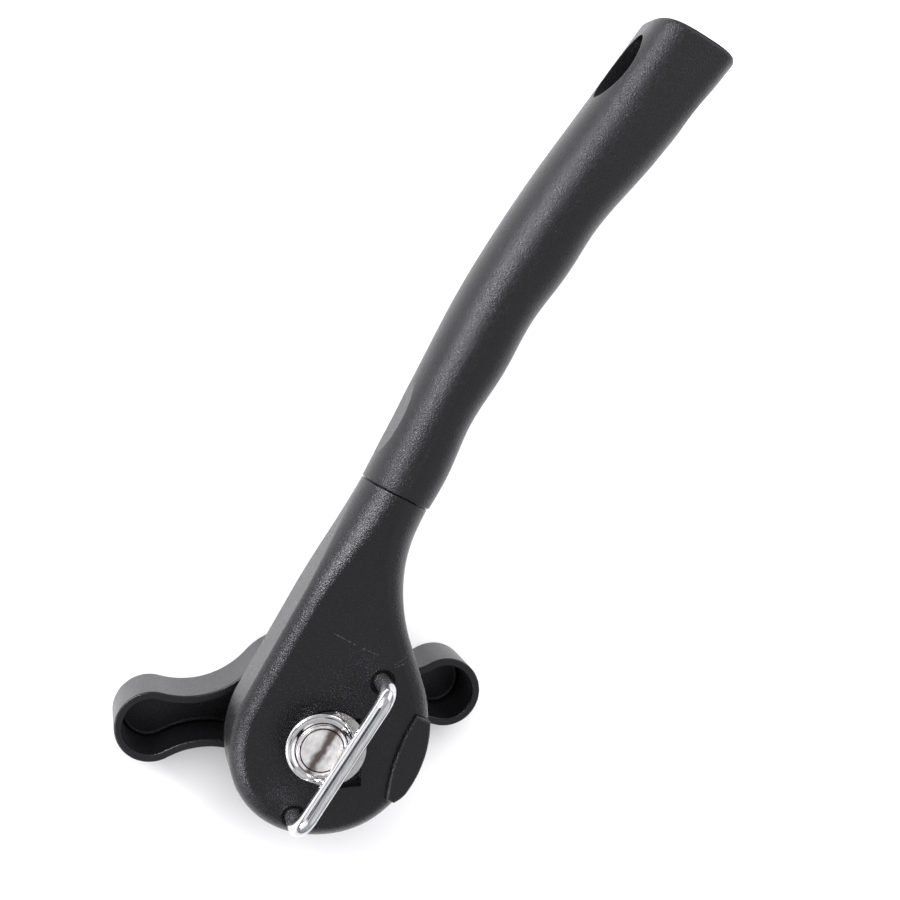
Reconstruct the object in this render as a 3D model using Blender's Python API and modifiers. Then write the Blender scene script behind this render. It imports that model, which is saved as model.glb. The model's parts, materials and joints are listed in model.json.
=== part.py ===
"""Manual side-cutting can opener, as an assembly of separate pieces.

Frame: metres, +Z up. Z is the spindle's axis, from the back of the turning knob (z = 0) to the
cutting side. X runs along the handle, from the round head to the end of the grip.
The constants are millimetres, and MM turns them into metres.
"""

from math import acos, cos, degrees, pi, radians, sin, sqrt, tan

import bmesh
import bpy

MM = 0.001
FIT = 0.15  # gap between a piece and the seat it is pressed into
RUN = 0.25  # gap between pieces that turn on each other

# Heights along the spindle
KNOB_TOP = 17.3
COVER_Z = (18.9, 22.5)
HEAD_Z = (22.7, 42.4)
HANDLE_Z = 32.55
WINDOW_FLOOR = 39.9
FLANGE_Z = (42.9, 44.9)
FEED_Z = (45.2, 46.8)
CUTTER_Z = (47.05, 48.25)
CAP_Z = (48.4, 49.2)
WIRE_Z = 51.9

# Axes of the turning pieces, seen from the front
SPINDLE = (0.0, 0.0)
CARRIER = (-0.15, -2.95)
CARRIER_TRAVEL = 150.0

# Head outline: two arcs round the head, a slanted line and a hollow arc into the neck
HEAD_RADIUS = 22.4
UPPER_SLOPE = 2.6
HEAD_FULLNESS = (96.0, 212.0, 0.85)  # first and last direction of the fuller side, and its swell
BLEND_ANGLE = 246.2
BLEND_RADIUS = 28.0
NECK_SLANT = 44.6
HOLLOW_RADIUS = 35.0
NECK_LOWER_Y = -0.15
SEAM_X = 58.9
NECK_STATIONS = (55.0, 51.0, 47.0, 43.0, 39.0, 35.0, 30.0, 24.0, 16.0, 8.0)
EDGE_ROUND = 3.4
NECK_ROUND = (8.2, 9.6)
NECK_START_X = 28.0
HEAD_WALL = 3.2
CAVITY_END_X = 34.0

# Cover, its screws and the bearing of the carrier
COVER_INSET = 3.9
COVER_END_X = 42.0
COVER_ROUND = 1.2
COVER_WALL = 1.6
COVER_SCREWS = ((-12.4, 5.8), (-9.6, -14.7), (15.4, -13.0), (29.4, 9.0))
POST_RADIUS = 3.0
SCREW_RADIUS = 1.1
SCREW_HEAD = (2.4, 1.2)
SCREW_LENGTH = 11.0
PILOT_DEPTH = 9.5
BORE_RADIUS = 8.65
BUSH_RADII = (7.75, 8.5)
FRONT_BUSH_Z = (33.1, 39.7)
REAR_BUSH_Z = (20.4, 25.8)
COVER_BOSS_Z = 26.0
BOSS_RADIUS = 10.8
BOSS_DEPTH = 9.5

# Carrier and what turns in it
CARRIER_RADIUS = 7.6
CARRIER_BACK_Z = 14.0
CLIP_Z = (17.9, 18.6)
FRICTION_Z = (19.05, 19.85)
FLANGE_RADIUS = 8.6
FLANGE_FLAT = (7.1, -16.5)  # distance of the flat from the carrier's axis, and its direction
STOP_DIRECTION = 200.0
STOP_Z = 31.7
SHAFT_RADIUS = 2.5
FEED_RADII = (6.3, 6.9)
FEED_TEETH = 26
CUTTER_RADIUS = 8.2
CAP_RADIUS = 6.0
CAP_FACE = 5.0
CAP_STEM_Z = 41.0

# Window beside the wheels, square to its own direction
WINDOW_SIZE = (16.4, 9.4)
WINDOW_CENTRE = (-0.45, -6.45)
WINDOW_TURN = 27.7

# Ledge that holds the rim of the can
LEDGE_X = (-6.0, 15.0)
LEDGE_Z = (34.9, 43.6)
LEDGE_ARC = ((9.85, -60.05), 42.0)
LEDGE_PROUD = -0.4

# Wire guide, a staple across the wheels
WIRE_RADIUS = 2.0
WIRE_LEGS = ((18.7, -7.45), (-18.55, -3.2))
WIRE_HOLE = 3.0
DIMPLE_DEPTH = 1.0
WIRE_BEND = 4.2
WIRE_ROOT_Z = 32.9

# Knob: a hub and two round ends joined by hollow arcs
KNOB_TURN = -59.3
KNOB_HUB = 16.8
KNOB_END = 8.8
KNOB_REACH = 36.8
KNOB_WAIST = 6.6
KNOB_WALL = 2.0
KNOB_FLOOR = 2.2
KNOB_BOSS = 6.5
KNOB_BOSS_TOP = 12.5
KNOB_WASHER_Z = (12.8, 13.7)
KNOB_RIB_TOP = 9.0
KNOB_EDGE = 1.2
HEX_FLATS = 4.4

# Grip: upper and lower edges and half depth at stations along X
GRIP_END_X = 186.6
GRIP_UPPER = ((59, 16.8), (82, 16.75), (110, 16.45), (137, 13.8), (166, 9.05), (191, 4.75))
GRIP_LOWER = ((59, -0.25), (82, -0.15), (110, -2.05), (137, -5.85), (157, -10.95), (191, -17.55))
GRIP_DEPTH = ((59, 9.95), (82, 10.2), (110, 10.7), (137, 11.0), (166, 11.1), (191, 11.1))
GRIP_POWER = ((59, 2.2), (137, 2.2), (166, 2.5), (191, 3.3))
FINGER_PITCH = 27.5
FINGER_START_X = 54.5
FINGER_COUNT = 3
FINGER_DEPTH = 0.75
GRIP_CORNER = 1.4
HANG_HOLE = (172.2, 18.3, 10.1)  # centre along X, length, height
HANG_HOLE_Z = 34.5
SCOOP = (75.2, 60.0, 0.75)  # centre along X, radius and depth of the thumb scoop

# Core bar inside the neck and the grip, and the two screws that hold it
CORE_X = (37.0, 128.0)
CORE_Y = (3.65, 12.95)
CORE_Z = (26.5, 38.6)
CORE_SCREWS = (48.0, 68.0)
CORE_SCREW_Y = 8.3


# ---------------------------------------------------------------- scene and helpers


def clear_scene():
    for item in list(bpy.data.objects):
        bpy.data.objects.remove(item, do_unlink=True)


def new_collection(name):
    found = bpy.data.collections.new(name)
    bpy.context.scene.collection.children.link(found)
    return found


def material(name, colour, roughness, metallic=0.0):
    found = bpy.data.materials.new(name)
    found.use_nodes = True
    shader = found.node_tree.nodes["Principled BSDF"]
    shader.inputs["Base Color"].default_value = (*colour, 1.0)
    shader.inputs["Roughness"].default_value = roughness
    shader.inputs["Metallic"].default_value = metallic
    return found


def place(name, mesh, look, parent=None):
    """Link a mesh as one of the opener's pieces."""
    piece = bpy.data.objects.new(name, mesh)
    PARTS.objects.link(piece)
    piece.data.materials.append(look)
    piece.data.shade_smooth()
    piece.data.set_sharp_from_angle(angle=radians(35))
    piece.parent = parent
    return piece


def as_tool(piece):
    """Turn a piece into a helper for Booleans, which isn't part of the model."""
    PARTS.objects.unlink(piece)
    TOOLS.objects.link(piece)
    piece.hide_render = True
    piece.display_type = "WIRE"
    return piece


def boolean(target, tool, operation="DIFFERENCE"):
    change = target.modifiers.new(operation.title(), "BOOLEAN")
    change.operation = operation
    change.solver = "EXACT"
    change.object = as_tool(tool)


def loft(name, rings, look, parent=None):
    """Skin closed rings that have the same number of points, and cap both ends."""
    mesh = bpy.data.meshes.new(name)
    shape = bmesh.new()
    loops = [[shape.verts.new([value * MM for value in point]) for point in ring] for ring in rings]
    for lower, upper in zip(loops, loops[1:]):
        for i in range(len(lower)):
            j = (i + 1) % len(lower)
            shape.faces.new((lower[i], lower[j], upper[j], upper[i]))
    shape.faces.new(list(reversed(loops[0])))
    shape.faces.new(loops[-1])
    bmesh.ops.recalc_face_normals(shape, faces=shape.faces)
    shape.to_mesh(mesh)
    shape.free()
    return place(name, mesh, look, parent)


def flat_ring(outline, z):
    return [(x, y, z) for x, y in outline]


def prism(name, outline, low, high, look, parent=None):
    """Extrude a flat outline from one height to another."""
    flat = bpy.data.curves.new(name, "CURVE")
    flat.dimensions = "2D"
    flat.fill_mode = "BOTH"
    flat.extrude = (high - low) / 2 * MM
    line = flat.splines.new("POLY")
    line.points.add(len(outline) - 1)
    for point, (x, y) in zip(line.points, outline):
        point.co = (x * MM, y * MM, 0, 1)
    line.use_cyclic_u = True
    piece = to_mesh(name, flat, look, parent)
    piece.location.z = (low + high) / 2 * MM
    return piece


def to_mesh(name, curve, look, parent=None):
    """Replace a curve by its welded mesh."""
    holder = bpy.data.objects.new(name + "_curve", curve)
    bpy.context.scene.collection.objects.link(holder)
    depsgraph = bpy.context.evaluated_depsgraph_get()
    mesh = bpy.data.meshes.new_from_object(holder.evaluated_get(depsgraph))
    bpy.data.objects.remove(holder, do_unlink=True)
    shape = bmesh.new()
    shape.from_mesh(mesh)
    bmesh.ops.remove_doubles(shape, verts=shape.verts, dist=1e-6)
    bmesh.ops.recalc_face_normals(shape, faces=shape.faces)
    shape.to_mesh(mesh)
    shape.free()
    mesh.materials.clear()
    return place(name, mesh, look, parent)


def turned(name, profile, look, steps=40, parent=None, at=(0, 0), closed=False):
    """Turn a profile of (radius, height) points, listed down its outer side, about Z."""
    mesh = bpy.data.meshes.new(name)
    points = [(radius * MM, 0, z * MM) for radius, z in profile]
    edges = [(i, i + 1) for i in range(len(points) - 1)]
    if closed:
        edges.append((len(points) - 1, 0))
    mesh.from_pydata(points, edges, [])
    piece = place(name, mesh, look, parent)
    piece.location = (at[0] * MM, at[1] * MM, 0)
    screw = piece.modifiers.new("Screw", "SCREW")
    screw.axis = "Z"
    screw.angle = 2 * pi
    screw.steps = steps
    screw.render_steps = steps
    screw.use_merge_vertices = True
    screw.merge_threshold = 0.00001
    screw.use_smooth_shade = True
    return piece


def cylinder(name, radius, low, high, at=(0, 0), look=None, steps=32, parent=None):
    profile = [(0, high), (radius, high), (radius, low), (0, low)]
    return turned(name, profile, look or BLACK, steps, parent, at)


def washer(name, inner, outer, low, high, look, steps=40, parent=None, at=(0, 0)):
    profile = [(inner, high), (outer, high), (outer, low), (inner, low)]
    return turned(name, profile, look, steps, parent, at, closed=True)


def block(name, low, high, look=None, edge=0.0):
    """A box from its lowest corner to its highest one, with chamfered edges if asked."""
    shape = bmesh.new()
    bmesh.ops.create_cube(shape, size=MM)
    size = [b - a for a, b in zip(low, high)]
    bmesh.ops.scale(shape, vec=size, verts=shape.verts)
    if edge:
        bmesh.ops.bevel(shape, geom=shape.edges, offset=edge * MM, segments=2, affect="EDGES", profile=0.5)
    mesh = bpy.data.meshes.new(name)
    shape.to_mesh(mesh)
    shape.free()
    piece = place(name, mesh, look or BLACK)
    piece.location = [(a + b) / 2 * MM for a, b in zip(low, high)]
    return piece


def arc(centre, radius, start, end, steps):
    """Points on a circle from one direction to another, in degrees, both ends included."""
    turns = [radians(start + (end - start) * i / steps) for i in range(steps + 1)]
    return [(centre[0] + radius * cos(a), centre[1] + radius * sin(a)) for a in turns]


def curve_through(points, x):
    """Value at x of a smooth curve through (x, value) points."""
    last = len(points) - 1
    i = max(k for k in range(last) if points[k][0] <= x or k == 0)
    (x0, y0), (x1, y1) = points[i], points[i + 1]
    before, after = points[max(i - 1, 0)], points[min(i + 2, last)]
    span = x1 - x0
    slope0 = (y1 - before[1]) / (x1 - before[0]) * span
    slope1 = (after[1] - y0) / (after[0] - x0) * span
    t = (x - x0) / span
    rise = y0 * (2 * t**3 - 3 * t**2 + 1) + y1 * (3 * t**2 - 2 * t**3)
    return rise + slope0 * (t**3 - 2 * t**2 + t) + slope1 * (t**3 - t**2)


# ---------------------------------------------------------------- head


def head_outline(inset, x_end):
    """The head's plan outline, moved inwards by inset and cut off square at x_end."""
    top = CARRIER[1] + HEAD_RADIUS / cos(radians(UPPER_SLOPE))
    upper = [(x, top - x * tan(radians(UPPER_SLOPE)) - inset) for x in (x_end, *NECK_STATIONS) if x <= x_end]
    head = round_side(inset, 26)
    blend = blend_centre()
    lower = arc(blend, BLEND_RADIUS - inset, BLEND_ANGLE, 270 + NECK_SLANT, 11)[1:]
    hollow_y = NECK_LOWER_Y - HOLLOW_RADIUS
    reach = BLEND_RADIUS + HOLLOW_RADIUS
    hollow_x = blend[0] + (reach + cos(radians(NECK_SLANT)) * (hollow_y - blend[1])) / sin(radians(NECK_SLANT))
    radius = HOLLOW_RADIUS + inset
    end = 90 if x_end >= hollow_x else degrees(acos((x_end - hollow_x) / radius))
    neck = arc((hollow_x, hollow_y), radius, 90 + NECK_SLANT, end, 10)
    if x_end > hollow_x:
        neck.append((x_end, NECK_LOWER_Y + inset))
    return upper + head + lower + neck


def round_side(inset, steps):
    """The arc round the spindle, which swells a little on the side away from the ledge."""
    start, end = 90 - UPPER_SLOPE, BLEND_ANGLE
    low, high, swell = HEAD_FULLNESS
    points = []
    for i in range(steps + 1):
        direction = start + (end - start) * i / steps
        share = min(max((direction - low) / (high - low), 0), 1)
        radius = HEAD_RADIUS - inset + swell * sin(pi * share) ** 2
        turn = radians(direction)
        points.append((CARRIER[0] + radius * cos(turn), CARRIER[1] + radius * sin(turn)))
    return points


def blend_centre():
    gap = BLEND_RADIUS - HEAD_RADIUS
    turn = radians(BLEND_ANGLE)
    return (CARRIER[0] - gap * cos(turn), CARRIER[1] - gap * sin(turn))


def head_body():
    """The head's outer form: square sides with round edges that widen to an oval neck."""
    edge = head_outline(0, SEAM_X)
    inward = head_outline(1, SEAM_X)
    low, high = HEAD_Z
    rings = []
    for side, turn in [(-1, a) for a in range(90, -1, -18)] + [(1, a) for a in range(0, 91, 18)]:
        ring = []
        for (x, y), (xi, yi) in zip(edge, inward):
            t = min(max((x - NECK_START_X) / (SEAM_X - NECK_START_X), 0), 1)
            t = t * t * (3 - 2 * t)
            across = EDGE_ROUND + (NECK_ROUND[0] - EDGE_ROUND) * t
            down = EDGE_ROUND + (NECK_ROUND[1] - EDGE_ROUND) * t
            inset = across * (1 - cos(radians(turn)))
            drop = down * (1 - sin(radians(turn)))
            z = high - drop if side > 0 else low + drop
            ring.append((x + (xi - x) * inset, y + (yi - y) * inset, z))
        rings.append(ring)
    return loft("head_housing", rings, BLACK)


def window_cutter():
    length, width = WINDOW_SIZE
    cutter = block("window_cutter", (-length / 2, -width / 2, WINDOW_FLOOR), (length / 2, width / 2, 50))
    cutter.rotation_euler.z = radians(WINDOW_TURN)
    cutter.location.x = WINDOW_CENTRE[0] * MM
    cutter.location.y = WINDOW_CENTRE[1] * MM
    return cutter


def ledge_outline(gap, proud):
    """The ledge seen from the front: an arc towards the wheel and one along the head's edge."""
    low, high = LEDGE_X[0] - gap, LEDGE_X[1] + gap
    (cx, cy), radius = LEDGE_ARC
    radius += gap
    start, end = (degrees(acos((x - cx) / radius)) for x in (high, low))
    inner = arc((cx, cy), radius, start, end, 10)
    bx, by = blend_centre()
    outer_radius = BLEND_RADIUS + proud
    start, end = (-degrees(acos((x - bx) / outer_radius)) for x in (low, high))
    return inner + arc((bx, by), outer_radius, start, end, 12)


def head_housing():
    housing = head_body()
    low, high = HEAD_Z
    roof = high - HEAD_WALL
    boolean(housing, prism("cavity_cutter", head_outline(HEAD_WALL, CAVITY_END_X), low - 3, roof, BLACK))
    boolean(housing, cylinder("bearing_boss", BOSS_RADIUS, roof - BOSS_DEPTH, roof + 0.5, CARRIER), "UNION")
    for i, spot in enumerate(COVER_SCREWS):
        post = cylinder(f"housing_post_{i}", POST_RADIUS, low + 0.4, roof + 0.4, spot, steps=20)
        boolean(housing, post, "UNION")
    for i, spot in enumerate(WIRE_LEGS):
        post = cylinder(f"wire_post_{i}", WIRE_HOLE + 1.2, roof - 8, roof + 0.3, spot, steps=20)
        boolean(housing, post, "UNION")
    boolean(housing, cylinder("bore_cutter", BORE_RADIUS, low - 5, high + 3, CARRIER, steps=48))
    for i, spot in enumerate(COVER_SCREWS):
        boolean(housing, cylinder(f"pilot_{i}", SCREW_RADIUS + FIT, low - 1, low + 10, spot, steps=16))
    for i, spot in enumerate(WIRE_LEGS):
        dimple = [(0, high + 1), (WIRE_HOLE, high + 1), (WIRE_HOLE, high - 0.2)]
        throat = WIRE_RADIUS + FIT
        shaft = [(throat, high - DIMPLE_DEPTH), (throat, WIRE_ROOT_Z - 1), (0, WIRE_ROOT_Z - 1)]
        boolean(housing, turned(f"wire_hole_{i}", dimple + shaft, BLACK, 20, at=spot))
    boolean(housing, window_cutter())
    seat = ledge_outline(FIT, 4)
    boolean(housing, prism("ledge_cutter", seat, LEDGE_Z[0] - FIT, high + 2, BLACK))
    boolean(housing, core_socket("neck_socket", CORE_X[0] - FIT, SEAM_X + 1))
    screw_seat(housing, "neck_screw_seat", CORE_SCREWS[0], low, CORE_Z[0] + 1)
    return housing


def stop_hole(housing):
    """Radial hole in the bearing boss for the pin that limits the carrier."""
    hole = cylinder("stop_pin_hole", 0.8 + FIT, BORE_RADIUS - 2, BOSS_RADIUS + 0.6, steps=14)
    lay_along(hole, STOP_DIRECTION)
    boolean(housing, hole)


def lay_along(piece, direction):
    """Lay an upright piece flat at the stop's height, pointing away from the carrier's axis."""
    piece.rotation_euler = (0, radians(90), radians(direction))
    piece.location = (CARRIER[0] * MM, CARRIER[1] * MM, STOP_Z * MM)


def back_cover():
    low, high = COVER_Z
    rings = [flat_ring(head_outline(COVER_INSET, COVER_END_X), high)]
    for turn in (0, 30, 60, 90):
        inset = COVER_ROUND * (1 - cos(radians(turn)))
        z = low + COVER_ROUND * (1 - sin(radians(turn)))
        rings.append(flat_ring(head_outline(COVER_INSET + inset, COVER_END_X - inset), z))
    cover = loft("back_cover", rings, BLACK)
    inner = head_outline(COVER_INSET + COVER_WALL, COVER_END_X - COVER_WALL)
    boolean(cover, prism("cover_cutter", inner, low + COVER_WALL, high + 1, BLACK))
    boolean(cover, cylinder("cover_boss", BOSS_RADIUS, low + 1, COVER_BOSS_Z, CARRIER), "UNION")
    for i, spot in enumerate(COVER_SCREWS):
        boolean(cover, cylinder(f"cover_post_{i}", POST_RADIUS, low + 1, high - 0.2, spot, steps=20), "UNION")
    boolean(cover, cylinder("cover_bore", BORE_RADIUS, low - 1, COVER_BOSS_Z + 1, CARRIER, steps=48))
    boolean(cover, cylinder("washer_seat", BORE_RADIUS + 0.8, low - 1, low + 1.2, CARRIER, steps=48))
    for i, (x, y) in enumerate(COVER_SCREWS):
        screw_seat(cover, f"cover_screw_seat_{i}", x, low, high + 1, y)
    return cover


def screw_seat(target, name, x, surface, depth, y=CORE_SCREW_Y):
    """A counterbore below the surface at this height, and a clearance hole up to depth."""
    head, thick = SCREW_HEAD
    step = surface + thick + 0.5
    wide, narrow = head + 0.3, SCREW_RADIUS + 0.25
    profile = [(0, depth), (narrow, depth), (narrow, step), (wide, step), (wide, surface - 1), (0, surface - 1)]
    boolean(target, turned(name, profile, BLACK, 20, at=(x, y)))


def screw(name, x, y, surface):
    """A cross-head screw, driven upwards from a counterbore in the surface at this height."""
    head, thick = SCREW_HEAD
    base = surface + 0.4
    seat = base + thick
    tip = seat + SCREW_LENGTH - thick
    down = [(0, tip), (0.4, tip - 0.2), (SCREW_RADIUS, tip - 1.2), (SCREW_RADIUS, seat), (head, seat)]
    rim = [(head, base + 0.5), (head - 0.5, base), (0, base)]
    piece = turned(name, down + rim, STEEL, 20, at=(x, y))
    for i, (a, b) in enumerate(((1.5, 0.25), (0.25, 1.5))):
        slot = block(f"{name}_slot_{i}", (x - a, y - b, base - 1), (x + a, y + b, base + 0.7))
        boolean(piece, slot)
    return piece


def rim_ledge():
    outline = ledge_outline(0, LEDGE_PROUD)
    low, high = LEDGE_Z
    ledge = prism("rim_ledge", outline, low, high, BLACK)
    bevel = ledge.modifiers.new("Bevel", "BEVEL")
    bevel.width = 0.5 * MM
    bevel.segments = 2
    bevel.limit_method = "ANGLE"
    bevel.angle_limit = radians(40)
    return ledge


def wire_guide():
    """Round wire: up out of the head, across in front of the wheels and back into it."""
    (x0, y0), (x1, y1) = WIRE_LEGS
    length = sqrt((x1 - x0) ** 2 + (y1 - y0) ** 2)
    ux, uy = (x1 - x0) / length, (y1 - y0) / length
    shoulder = WIRE_Z - WIRE_BEND
    route = [(0, z) for z in (WIRE_ROOT_Z, 42, shoulder)]
    route += [(WIRE_BEND + a, shoulder + b) for a, b in arc((0, 0), WIRE_BEND, 180, 90, 7)[1:]]
    far = [(length - a, z) for a, z in reversed(route)]
    route += [(length * t, WIRE_Z) for t in (0.3, 0.5, 0.7)] + far
    path = bpy.data.curves.new("wire_guide", "CURVE")
    path.dimensions = "3D"
    path.bevel_depth = WIRE_RADIUS * MM
    path.bevel_resolution = 4
    path.use_fill_caps = True
    line = path.splines.new("POLY")
    line.points.add(len(route) - 1)
    for point, (along, z) in zip(line.points, route):
        point.co = ((x0 + ux * along) * MM, (y0 + uy * along) * MM, z * MM, 1)
    return to_mesh("wire_guide", path, CHROME)


# ---------------------------------------------------------------- carrier, spindle, cutter


def eccentric_carrier(parent):
    """A thick bush whose bore is off its own axis, with a flange cut flat on one side."""
    front, back = FLANGE_Z[1], CARRIER_BACK_Z
    profile = [(0, front), (FLANGE_RADIUS - 0.4, front), (FLANGE_RADIUS, front - 0.4)]
    profile += [(FLANGE_RADIUS, FLANGE_Z[0]), (CARRIER_RADIUS, FLANGE_Z[0])]
    groove = (CLIP_Z[1] + 0.1, CLIP_Z[0] - 0.1)
    profile += [(CARRIER_RADIUS, groove[0]), (CARRIER_RADIUS - 0.5, groove[0])]
    profile += [(CARRIER_RADIUS - 0.5, groove[1])]
    profile += [(CARRIER_RADIUS, groove[1]), (CARRIER_RADIUS, back), (0, back)]
    carrier = turned("eccentric_carrier", profile, STEEL, 48, parent)
    bore = cylinder("carrier_bore", SHAFT_RADIUS + RUN, back - 1, front + 1, SPINDLE, steps=32)
    boolean(carrier, bore)
    distance, direction = FLANGE_FLAT
    flat = block("flange_flat", (distance, -12, FLANGE_Z[0] + 0.01), (distance + 6, 12, front + 1))
    turn = radians(direction)
    middle = distance + 3
    flat.location.x = (CARRIER[0] + middle * cos(turn)) * MM
    flat.location.y = (CARRIER[1] + middle * sin(turn)) * MM
    flat.rotation_euler.z = turn
    boolean(carrier, flat)
    boolean(carrier, stop_groove())
    return carrier


def stop_groove():
    """A groove round part of the carrier, in which the stop pin runs."""
    spare = 8.0
    start, end = STOP_DIRECTION - CARRIER_TRAVEL - spare, STOP_DIRECTION + spare
    steps = 14
    outer = arc(CARRIER, CARRIER_RADIUS + 1, start, end, steps)
    inner = arc(CARRIER, CARRIER_RADIUS - 1.2, end, start, steps)
    return prism("stop_groove", outer + inner, STOP_Z - 1.0, STOP_Z + 1.0, STEEL)


def stop_pin():
    pin = cylinder("stop_pin", 0.8, CARRIER_RADIUS - 0.9, BOSS_RADIUS, look=STEEL, steps=14)
    lay_along(pin, STOP_DIRECTION)
    return pin


def drive_shaft(parent):
    front, back = CUTTER_Z[1] - 0.1, 4.0
    hole = 1.35
    inner = [(0, CAP_STEM_Z - 1), (hole, CAP_STEM_Z - 1), (hole, front)]
    outer = [(SHAFT_RADIUS - 0.2, front), (SHAFT_RADIUS, front - 0.2), (SHAFT_RADIUS, back), (0, back)]
    shaft = turned("drive_shaft", inner + outer, STEEL, 32, parent)
    half = HEX_FLATS / 2
    for i in range(6):
        flat = block(f"shaft_flat_{i}", (half, -3, back - 1), (half + 2, 3, KNOB_BOSS_TOP + 0.2))
        turn = radians(60 * i)
        flat.location = ((half + 1) * cos(turn) * MM, (half + 1) * sin(turn) * MM, flat.location.z)
        flat.rotation_euler.z = turn
        boolean(shaft, flat)
    return shaft


def feed_wheel(parent):
    """The toothed wheel that drives the rim of the can."""
    root, tip = FEED_RADII
    outline = []
    for i in range(FEED_TEETH):
        for part, radius in ((0, root), (0.35, tip), (0.6, tip)):
            turn = 2 * pi * (i + part) / FEED_TEETH
            outline.append((radius * cos(turn), radius * sin(turn)))
    wheel = prism("feed_wheel", outline, *FEED_Z, STEEL, parent)
    boolean(wheel, cylinder("feed_bore", SHAFT_RADIUS + FIT, FEED_Z[0] - 1, FEED_Z[1] + 1, steps=32))
    return wheel


def cutter_wheel(parent):
    """The cutting disc: flat behind, bevelled in front to a thin edge."""
    low, high = CUTTER_Z
    bore = SHAFT_RADIUS + RUN
    shoulder = CAP_RADIUS + 0.1
    profile = [(bore, high), (shoulder, high), (CUTTER_RADIUS, low + 0.45), (CUTTER_RADIUS, low + 0.15)]
    profile += [(CUTTER_RADIUS - 0.5, low), (bore, low)]
    return turned("cutter_wheel", profile, CHROME, 64, parent, closed=True)


def wheel_cap(parent):
    """The rivet whose broad head keeps the cutting disc on the shaft."""
    low, high = CAP_Z
    groove = [(CAP_FACE, high - 0.1), (CAP_FACE + 0.15, high - 0.3), (CAP_FACE + 0.35, high - 0.3)]
    rim = [(CAP_FACE + 0.5, high), (CAP_RADIUS - 0.2, high), (CAP_RADIUS, high - 0.2), (CAP_RADIUS, low)]
    stem = [(1.2, low), (1.2, CAP_STEM_Z), (0, CAP_STEM_Z)]
    return turned("wheel_cap", [(0, high - 0.1)] + groove + rim + stem, BRUSHED, 64, parent)


# ---------------------------------------------------------------- knob


def knob_outline(inset):
    """Hub arc, hollow arc, round end and back again, all tangent, moved inwards by inset."""
    hub, end, reach, waist = KNOB_HUB, KNOB_END, KNOB_REACH, KNOB_WAIST
    share = (end - waist) / (hub - waist)
    a, b = 1 - share, -2 * reach
    c = reach**2 + waist**2 - end**2 - share * (waist**2 - hub**2)
    middle = (-b - sqrt(b * b - 4 * a * c)) / (2 * a)
    hollow = (middle**2 + waist**2 - hub**2) / (2 * (hub - waist))
    height = waist + hollow
    at_hub = degrees(acos(middle / (hub + hollow)))
    at_end = degrees(acos((middle - reach) / (end + hollow)))
    quarter = arc((reach, 0), end - inset, 0, at_end, 9)
    quarter += arc((middle, height), hollow + inset, at_end - 180, at_hub - 180, 8)[1:]
    quarter += arc((0, 0), hub - inset, at_hub, 90, 3)[1:]
    half = quarter + [(-x, y) for x, y in reversed(quarter[:-1])]
    return half + [(x, -y) for x, y in reversed(half[1:-1])]


def knob(parent):
    """A hollow two-winged knob, closed behind and open towards the head."""
    rings = []
    for turn in (90, 60, 30, 0):
        inset = KNOB_EDGE * (1 - cos(radians(turn)))
        rings.append(flat_ring(knob_outline(inset), KNOB_EDGE * (1 - sin(radians(turn)))))
    rings.append(flat_ring(knob_outline(0), KNOB_TOP))
    body = loft("knob", rings, BLACK, parent)
    hollow = prism("knob_cutter", knob_outline(KNOB_WALL), KNOB_FLOOR, KNOB_TOP + 1, BLACK, parent)
    body.rotation_euler.z = radians(KNOB_TURN)
    hollow.rotation_euler.z = radians(KNOB_TURN)
    boolean(body, hollow)
    for i in range(2):
        size = [(KNOB_HUB - 1, 0.8), (0.8, KNOB_HUB - 1)][i]
        rib = block(f"knob_rib_{i}", (-size[0], -size[1], 1.5), (size[0], size[1], KNOB_RIB_TOP))
        rib.rotation_euler.z = radians(KNOB_TURN + 45)
        boolean(body, rib, "UNION")
    boolean(body, cylinder("knob_boss", KNOB_BOSS, 1.2, KNOB_BOSS_TOP, steps=32), "UNION")
    across = (HEX_FLATS / 2 + 0.2) / cos(radians(30))
    socket = arc((0, 0), across, 30, 330, 5)
    boolean(body, prism("hex_cutter", socket, 3.6, KNOB_TOP + 1, BLACK, parent))
    return body


# ---------------------------------------------------------------- handle


def grip_section(x, inset=0.0):
    """One oval slice of the grip, with the finger waves on its lower edge."""
    upper = curve_through(GRIP_UPPER, x)
    lower = curve_through(GRIP_LOWER, x)
    along = (x - FINGER_START_X) / FINGER_PITCH
    if along < FINGER_COUNT:
        lower -= FINGER_DEPTH * (1 - cos(2 * pi * along)) / 2
    half = (upper - lower) / 2 - inset
    deep = curve_through(GRIP_DEPTH, x) - inset
    middle = (upper + lower) / 2
    power = 2 / curve_through(GRIP_POWER, x)
    ring = []
    for i in range(32):
        turn = 2 * pi * i / 32
        c, s = cos(turn), sin(turn)
        across = half * abs(c) ** power * (1 if c > 0 else -1)
        rise = deep * abs(s) ** power * (1 if s > 0 else -1)
        ring.append((x, middle + across, HANDLE_Z + rise))
    return ring


def grip():
    start = SEAM_X + 0.3
    body_end = GRIP_END_X - GRIP_CORNER
    rings = [grip_section(start, 0.35), grip_section(start + 0.35)]
    count = 30
    first = start + 3
    rings += [grip_section(first + (body_end - first) * i / count) for i in range(count + 1)]
    for turn in (22, 45, 68, 90):
        x = body_end + GRIP_CORNER * sin(radians(turn))
        rings.append(grip_section(x, GRIP_CORNER * (1 - cos(radians(turn)))))
    sleeve = loft("grip", rings, BLACK)
    boolean(sleeve, core_socket("grip_socket", start - 1, CORE_X[1] + 1))
    boolean(sleeve, hang_hole_cutter())
    scoop_x, radius, depth = SCOOP
    top = curve_through(GRIP_UPPER, scoop_x)
    boolean(sleeve, cylinder("scoop_cutter", radius, 10, 60, (scoop_x, top - depth + radius), steps=144))
    screw_seat(sleeve, "grip_screw_seat", CORE_SCREWS[1], HANDLE_Z - 10, CORE_Z[0] + 1)
    return sleeve


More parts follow.
